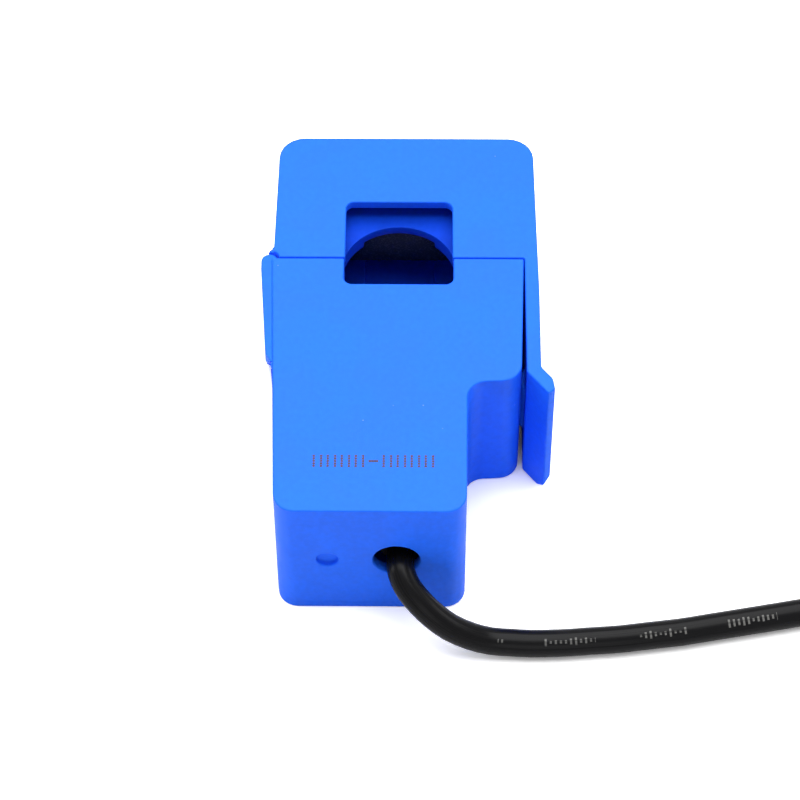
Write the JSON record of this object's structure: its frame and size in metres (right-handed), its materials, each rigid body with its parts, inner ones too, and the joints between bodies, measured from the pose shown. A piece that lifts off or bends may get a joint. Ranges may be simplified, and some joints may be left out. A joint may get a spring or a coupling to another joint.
{
  "type": "current transformer",
  "caption": "Clip-on current transformer: hinged split casing with a square conductor opening, latch arm with thumb tab, and a lead ending in a jack plug.",
  "frame": {"origin": "bottom centre of the casing's box, lead and plug left out: on the casing's flat back, midway between hinge barrel and thumb tab and midway between cable end and cap end", "axes": "+X from the hinge side to the latch side, +Y from the cable end to the cap end, +Z out of the front face, along the conductor's axis"},
  "size_m": [0.1293, 0.0795, 0.02],
  "materials": {
    "casing_blue": "fine matt moulded texture with a soft sheen",
    "steel": "plain drawn",
    "ferrite": "matt fired ceramic, ground pole faces",
    "foam_black": "matt",
    "bobbin_cream": "matt",
    "enamelled_copper": "glossy enamel over copper",
    "tape_yellow": "glossy film",
    "board_green": "matt lacquer",
    "diode_black": "matt",
    "tinned": "bright solder",
    "wire_white": "satin",
    "wire_red": "satin",
    "cable_black": "satin jacket",
    "tie_white": "satin nylon",
    "plug_black": "satin",
    "plug_brass": "polished plating"
  },
  "bodies": {
    "housing": {"body_housing": "casing_blue", "hinge_pin": "steel", "body_core": "ferrite", "core_cover": "casing_blue", "bobbin": "bobbin_cream", "winding": "enamelled_copper", "winding_tape": "tape_yellow", "terminal_board": "board_green", "surge_diode": "diode_black", "diode_leads": "tinned", "solder_joints": "tinned", "winding_leads": "enamelled_copper", "signal_wire": "wire_white", "return_wire": "wire_red", "inner_cable": "cable_black", "cable_tie": "tie_white", "cord_lead": "cable_black", "cord_coil": "cable_black", "cord_tail": "cable_black", "coil_tie": "tie_white", "plug_boot": "plug_black", "plug_grip": "plug_black", "plug_collar": "plug_brass", "plug_sleeve": "plug_brass", "plug_sleeve_insulator": "plug_black", "plug_ring": "plug_brass", "plug_ring_insulator": "plug_black", "plug_tip": "plug_brass"},
    "cap": {"cap_housing": "casing_blue", "cap_core": "ferrite", "core_carrier": "casing_blue", "core_pad": "foam_black"}
  },
  "joints": [
    {"name": "cap_hinge", "type": "hinge", "parent": "housing", "child": "cap", "pos_m": [-0.01667, 0.0089, 0.01], "axis": [0, 0, 1], "range_deg": [0, 100]}
  ]
}
